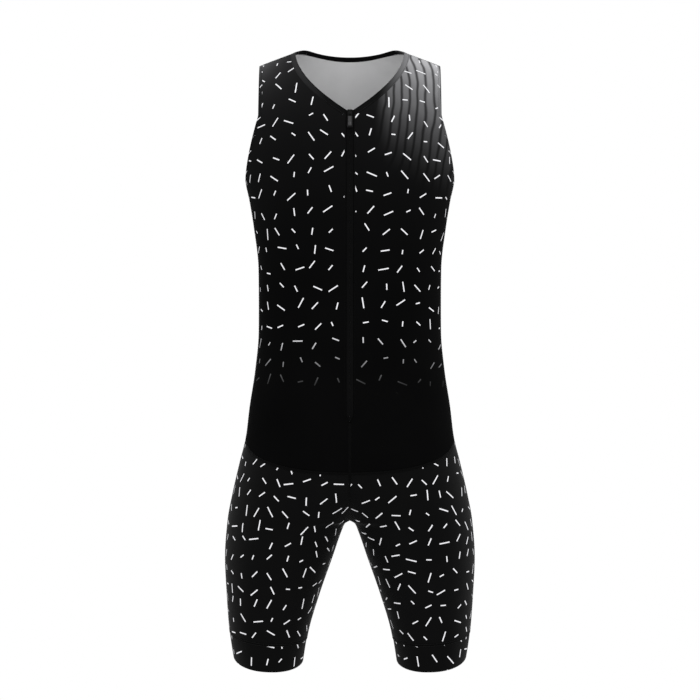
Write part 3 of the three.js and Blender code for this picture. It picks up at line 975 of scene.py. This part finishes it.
def neckSamples(share):  # from the left front's zip edge, over the shoulder, to the middle of the back
    def front(a, b):
        return frontPoint(a, b, share)

    def back(a, b):
        return backPoint(a, b, form["neckTape"] * share)

    def stand(x):
        facts = form["neckStand"]
        return (1 - share) * facts["height"] * math.exp(-(((x - facts["x"]) / facts["spread"]) ** 2))

    count = 60
    samples = []
    for n in range(count, -1, -1):
        down = form["yokeShare"] * n / count
        samples.append((front(0, down), normalOn(front, 0, down)))
    half = form["neckHalfWidth"] + form["neckTape"] * share
    topAngle = armholeEdge(0, 0)[1]
    endAcross = angleAtX(half, ridgeZ(half)) / quarter / topAngle
    for n in range(count - 1, -1, -1):
        across = endAcross * math.sin(n / count * quarter)
        point = back(across, 0)
        samples.append((point + Vector((0, 0, stand(point.x))), normalOn(back, across, 0)))
    return samples


def mirrorSamples(samples):
    return [(Vector((-p.x, p.y, p.z)), Vector((-n.x, n.y, n.z))) for p, n in samples]


def onSide(samples, side):
    return samples if side > 0 else mirrorSamples(samples)


def fullNeck(share):
    left = neckSamples(share)
    return left + mirrorSamples(left[:-1])[::-1]


def edgeBand(name, outer, inner, width, look, ring=False):
    stations = []
    for (edge, edgeNormal), (deep, deepNormal) in zip(outer, inner):
        stations.append((edge, (deep - edge) / width, (edgeNormal + deepNormal).normalized()))
    return sweepBand(name, stations, bindingProfile(width), look, ring=ring)


def neckBinding():
    look = materials["neckTape"]
    piece = edgeBand("neck_binding_tape", fullNeck(0.0), fullNeck(1.0), binding["neckWidth"], look)
    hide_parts("neck_binding")
    return piece


def armSamples(inset):  # a closed loop: shoulder, down the front, underarm, up the back
    def front(a, b):
        return frontPoint(a, b, 0.0, inset)

    def back(a, b):
        return backPoint(a, b, 0.0, inset)

    count = 72
    samples = [(front(1, n / count), normalOn(front, 1, n / count)) for n in range(count + 1)]
    samples += [(back(1, n / count), normalOn(back, 1, n / count)) for n in range(count - 1, 0, -1)]
    return samples + samples[:1]


def armholeBinding(side, word):
    edge, deep = (onSide(armSamples(inset), side) for inset in (0.0, form["armTape"]))
    look = materials["armhole_band"]
    piece = edgeBand(f"armhole_band_{word}", edge, deep, form["armTape"], look, ring=True)
    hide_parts(f"armhole_binding_{word}")
    return piece


neckBinding()
for side, word in sides:
    armholeBinding(side, word)
print("stage: bindings made")


# Seams: a flat cover of thread over each seam, outside and in, with two needle rows
seam = {
    "halfWidth": 2.4,
    "height": 0.38,
    "stationGap": 4.0,
    "pitch": 2.6,
    "threadRadius": 0.17,
    "threadSides": 5,
    "threadDip": 0.12,  # how far a stitch dips where the needle went in
    "needleRow": 1.6,
}


def seamProfile():
    half = seam["halfWidth"]
    top = seam["height"]
    rise = [(-half, -0.15), (-half * 0.8, top * 0.8), (0, top)]
    return rise + [(half * 0.8, top * 0.8), (half, -0.15), (0, -0.4)]


def threadRow(name, samples, sideways, look, lift=0.0, ring=False):
    stations = stationsOf(samples, seam["pitch"] / 4, ring)
    radius = seam["threadRadius"]
    heights = (-seam["threadDip"], radius, radius * 1.35, radius)
    corners = [k * math.tau / seam["threadSides"] for k in range(seam["threadSides"])]

    def bend(n, across):
        return stations[n][1] * (sideways + across) + stations[n][2] * (lift + heights[n % 4])

    profile = [(radius * math.cos(turn), radius * math.sin(turn)) for turn in corners]
    return sweepBand(name, stations, profile, look, ring=ring, bend=bend)


def coverSeam(name, samples, ring=False, look="thread"):
    stations = stationsOf(samples, seam["stationGap"], ring)
    bands = [sweepBand(name, stations, seamProfile(), materials["seamTape"], ring=ring)]
    inner = [(point - normal * clothWall, inward, -normal) for point, inward, normal in stations]
    bands.append(sweepBand(name + "_inside", inner, seamProfile(), materials["seamTape"], ring=ring))
    for n, row in enumerate((-1, 1)):
        sideways = row * seam["needleRow"]
        bands.append(
            threadRow(f"{name}_stitch_{n + 1}", samples, sideways, materials[look], seam["height"], ring)
        )
    return bands


def span(low, high, count):
    return [mix(low, high, n / count) for n in range(count + 1)]


def sideSeam():
    samples = []
    for z in span(form["underarmZ"] - form["armTape"], gripperSeam["outer"], 90):
        above, point, under = (bodyPoint("front", 1, height) for height in (z + 1, z, z - 1))
        samples.append((point, Vector((1, 0, (under.x - above.x) / 2)).normalized()))
    return samples


def inseam():
    samples = []
    for n in range(61):
        z = mix(form["crotchZ"], gripperSeam["inner"], (n / 60) ** 1.6)
        point = bodyPoint("front", 0, z)
        low = bodyPoint("front", 0, z - 1)
        run = low - point
        samples.append((point, Vector((run.z, 0, -run.x)).normalized()))
    return samples


def middleSeam():  # from the zip's end, under the crotch, to the back's hip seam
    share = span(0, 1, 50)
    zs = [mix(form["zipEndZ"] - 8, form["crotchZ"], math.sin(t * quarter)) for t in share]
    points = [bodyPoint("front", 0, z) for z in zs]
    zs = [mix(hipSeam["back"], form["crotchZ"], math.sin(t * quarter)) for t in share]
    points += [bodyPoint("back", 0, z) for z in zs][-2::-1]
    samples = []
    for n, point in enumerate(points):
        run = points[min(n + 1, len(points) - 1)] - points[max(n - 1, 0)]
        samples.append((point, Vector((0, run.z, -run.y)).normalized()))
    return samples


def hipSeamLoop():
    def row(face):
        def surface(a, b):
            return shortPoint(face, a, b)

        return [(surface(a, 0), normalOn(surface, a, 0)) for a in span(0, 1, 60)]

    left = row("front") + row("back")[-2::-1]
    return left + mirrorSamples(left[:-1])[::-1]


def gripperLoop(down):
    samples = [(gripperPoint(a, down), normalOn(gripperPoint, a, down, (2, 1))) for a in span(0, 2, 120)]
    samples[0] = (samples[0][0], Vector((-1, 0, 0)))
    samples[-1] = (samples[-1][0], Vector((-1, 0, 0)))
    return samples


def shoulderSeam():
    half = form["neckHalfWidth"] + form["neckTape"]
    samples = []
    for x in span(half, form["shoulderTipX"] - form["armTape"], 12):
        slope = (ridgeZ(x + 1) - ridgeZ(x - 1)) / 2
        samples.append((Vector((x, form["shoulderY"], ridgeZ(x))), Vector((-slope, 0, 1)).normalized()))
    return samples


for side, word in sides:
    coverSeam(f"side_seam_{word}", onSide(sideSeam(), side))
    coverSeam(f"inseam_{word}", onSide(inseam(), side))
    coverSeam(f"gripper_seam_{word}", onSide(gripperLoop(0), side), ring=True, look="threadGrey")
    coverSeam(f"shoulder_seam_{word}", onSide(shoulderSeam(), side))
coverSeam("middle_seam", middleSeam())
coverSeam("hip_seam", hipSeamLoop(), ring=True)


def zipSideSamples():  # beside the zip, on the fronts' folded edges
    x = form["zipHalf"] + panelGrid["zipRow"]
    samples = []
    for z in span(form["sliderZ"] - 5, form["zipEndZ"], 120):
        run = bodyPoint("front", 0, z - 1) - bodyPoint("front", 0, z + 1)
        point = bodyPoint("front", angleAtX(x, z) / quarter, z)
        samples.append((point, Vector((0, run.z, -run.y)).normalized()))
    return samples


def edgeStitches():
    onBinding = binding["lift"] - binding["rowSink"]
    onWelt = panelGrid["weltHeight"] - 0.1
    black = materials["thread"]
    neck = fullNeck(binding["neckRow"])
    rows = [threadRow("neck_stitch", neck, 0.0, materials["threadGrey"], onBinding)]
    for side, word in sides:
        loop = onSide(armSamples(form["armTape"] * binding["armRow"]), side)
        rows.append(threadRow(f"armhole_stitch_{word}", loop, 0.0, black, onBinding, True))
        zipSide = onSide(zipSideSamples(), side)
        rows.append(threadRow(f"zip_stitch_{word}", zipSide, 0.0, black, onWelt))


edgeStitches()
print("stage: seams and stitches made")


# Zip: two woven tapes that meet on the middle line, the coil behind them, the slider and its pull
zipParts = {
    "tapeWall": 0.75,
    "tapeAcross": (0.1, 0.22, 0.7, 2.4, 2.7, 3.0, 4.0, 5.2, 5.9, 7.4, 8.4),  # from 5.9 on behind the front
    "tapeLift": (-0.3, -0.05, 0.0, 0.0, 0.12, 0.0, 0.0, -0.1, -0.58, -0.62, -0.76),
    "tapeEndLift": -1.7,
    "tapeRows": 160,
    "coilPitch": 1.35,
    "coilHalf": 2.1,
    "coilWire": 0.42,
    "coilShift": 0.55,
    "coilBevel": 0.16,
    "coilDepth": 1.75,
    "inlay": (5.4, 1.8, 15.4),
    "inlayDrop": 13.7,
    "inlayBevel": 0.45,
    "pullBevel": 0.22,
    "sliderBevel": 0.25,
}


def middleNormal(z):
    run = bodyPoint("front", 0, z - 1) - bodyPoint("front", 0, z + 1)
    return Vector((0, run.z, -run.y)).normalized()


def zipTape(side, word):
    xs = zipParts["tapeAcross"]

    def place(a, b):
        n = round(a * (len(xs) - 1))
        top = mix(form["zipTopZ"], form["zipTopZ"] + 2.3, clamp((xs[n] - 3.0) / 1.0, 0, 1))
        z = mix(top, form["zipEndZ"] - 8, b)
        sunk = clamp((form["zipEndZ"] + 4 - z) / 4, 0, 1)
        lift = mix(zipParts["tapeLift"][n], zipParts["tapeEndLift"], sunk)
        return bodyPoint("front", angleAtX(xs[n], z) / quarter, z) + middleNormal(z) * lift

    bm = gridMesh(len(xs) - 1, zipParts["tapeRows"], place, side, flatStart=lambda point: point.x)
    piece = finishMesh(bm, f"zip_tape_weave_{word}", [materials["zipTape"]] * 2)
    addWall(piece, zipParts["tapeWall"], even=False)
    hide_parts(f"zip_tape_{word}")
    return piece


def zipCoil():
    bm = bmesh.new()
    z = form["coilTopZ"] - 1
    turn = 0
    depth = zipParts["coilDepth"]
    wire = zipParts["coilWire"]
    while z > form["zipEndZ"] + 3:
        made = bmesh.ops.create_cube(bm, size=1)["verts"]
        middle = bodyPoint("front", 0, z) - middleNormal(z) * depth
        shift = zipParts["coilShift"] * (1 if turn % 2 else -1)
        for vert in made:
            tip = abs(vert.co.z) * 2
            x = vert.co.x * 2 * zipParts["coilHalf"] + shift
            y = vert.co.y * wire * 2
            vert.co = (middle + Vector((x, y, vert.co.z * wire * 2 * tip))) * mm
        z -= zipParts["coilPitch"] / 2
        turn += 1
    roundEdges(bm, bm.edges[:], zipParts["coilBevel"], segments=1)
    smoothFaces(bm)
    piece = finishMesh(bm, "zip_coil", [materials["coil"]])
    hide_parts("zip_chain")
    return piece


def bevelledCopy(node, name, width, body):  # a hard part as the frame gives it, with its sharp edges eased
    bm = bmesh.new()
    bm.from_mesh(bpy.data.objects[frame["nodes"][node].name].data)
    bmesh.ops.remove_doubles(bm, verts=bm.verts, dist=1e-6)
    bmesh.ops.dissolve_limit(bm, angle_limit=math.radians(1), verts=bm.verts, edges=bm.edges)
    sharp = [edge for edge in bm.edges if edge.calc_face_angle(0) > math.radians(25)]
    roundEdges(bm, sharp, width, clamp_overlap=True)
    smoothFaces(bm)
    piece = finishMesh(bm, name, [materials["metal"]], body)
    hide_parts(node)
    return piece


def zipPull():
    piece = bevelledCopy("zip_pull", "zip_pull_tab", zipParts["pullBevel"], "pull")
    bm = bmesh.new()
    bmesh.ops.create_cube(bm, size=1)
    bmesh.ops.scale(bm, vec=Vector(zipParts["inlay"]) * mm, verts=bm.verts)
    roundEdges(bm, bm.edges[:], zipParts["inlayBevel"])
    normal = middleNormal(form["sliderZ"])
    turn = Vector((0, -1, 0)).rotation_difference(normal).to_matrix()
    bmesh.ops.rotate(bm, matrix=turn, cent=(0, 0, 0), verts=bm.verts)
    down = turn @ Vector((0, 0, -1))
    middle = Vector(frame["joints"][0]["pos_m"]) + down * zipParts["inlayDrop"] * mm
    bmesh.ops.translate(bm, vec=middle, verts=bm.verts)
    smoothFaces(bm)
    inlay = finishMesh(bm, "zip_pull_inlay", [materials["pullFace"]], "pull")
    return inlay


for side, word in sides:
    zipTape(side, word)
zipCoil()
bevelledCopy("zip_slider", "zip_slider_body", zipParts["sliderBevel"], "suit")
zipPull()
print("stage: zip made")


# Stage: a pale floor well below the hems, which fades out, soft studio light and the camera
studio = {
    "floorZ": -1.45,
    "floorRadius": 1.6,
    "floorFade": (0.35, 0.97),
    "cameraPlace": (0.0002, -3.6, -0.469),
    "lens": 115.7,
    "lampAim": (0, 0, -0.45),
    "world": 1.0,
}


def makeFloor():
    bm = bmesh.new()
    bmesh.ops.create_circle(bm, cap_ends=True, segments=96, radius=studio["floorRadius"])
    bmesh.ops.translate(bm, vec=(0, 0, studio["floorZ"]), verts=bm.verts)
    mesh = bpy.data.meshes.new("floor")
    bm.to_mesh(mesh)
    bm.free()
    floor = bpy.data.objects.new("floor", mesh)
    bpy.context.scene.collection.objects.link(floor)
    shader = Shader("floor_white")
    x, y, _ = shader.parts(shader.place())
    away = (x * x + y * y).math("SQRT")
    near, far = (studio["floorRadius"] * share for share in studio["floorFade"])
    alpha = 1 - shader.smooth(away, near, far)
    tone = shader.noise(shader.place(), 3.0) * 0.02 + 0.86
    colour = shader.node("ShaderNodeCombineColor", {}, {0: tone, 1: tone, 2: tone})
    look = shader.finish(Base_Color=colour, Roughness=0.9, Alpha=alpha, Specular_IOR_Level=0.1)
    mesh.materials.append(look)


def makeWorld():
    world = bpy.data.worlds.new("studio")
    bpy.context.scene.world = world
    world.use_nodes = True
    background = world.node_tree.nodes["Background"]
    background.inputs[0].default_value = (1, 1, 1, 1)
    background.inputs[1].default_value = studio["world"]


lamps = {
    "top_softbox": {"place": (0.0, -0.9, 2.2), "size": (1.6, 1.6), "power": 24},
    "left_softbox": {"place": (-2.6, 0.9, -0.9), "size": (1.2, 1.6), "power": 26},
    "right_softbox": {"place": (2.6, 0.9, -0.9), "size": (1.2, 1.6), "power": 34},
    "left_strip": {"place": (-1.3, -3.0, 0.0), "size": (0.4, 2.4), "power": 26},
    "right_strip": {"place": (1.5, -2.9, 0.1), "size": (0.4, 2.4), "power": 34},
}


def makeLamps():
    aim = Vector(studio["lampAim"])
    for name, facts in lamps.items():
        light = bpy.data.lights.new(name, "AREA")
        light.energy = facts["power"]
        light.shape = "RECTANGLE"
        light.size, light.size_y = facts["size"]
        lamp = bpy.data.objects.new(name, light)
        lamp.location = facts["place"]
        lamp.rotation_euler = (aim - lamp.location).to_track_quat("-Z", "Y").to_euler()
        bpy.context.scene.collection.objects.link(lamp)


def makeCamera():
    data = bpy.data.cameras.new("camera")
    data.lens = studio["lens"]
    data.sensor_width = 36
    data.clip_end = 60
    camera = bpy.data.objects.new("camera", data)
    camera.location = studio["cameraPlace"]
    camera.rotation_euler = (quarter, 0, 0)
    bpy.context.scene.collection.objects.link(camera)
    bpy.context.scene.camera = camera
    bpy.context.scene.view_settings.view_transform = "Standard"


makeFloor()
makeWorld()
makeLamps()
makeCamera()
print("stage: studio made")
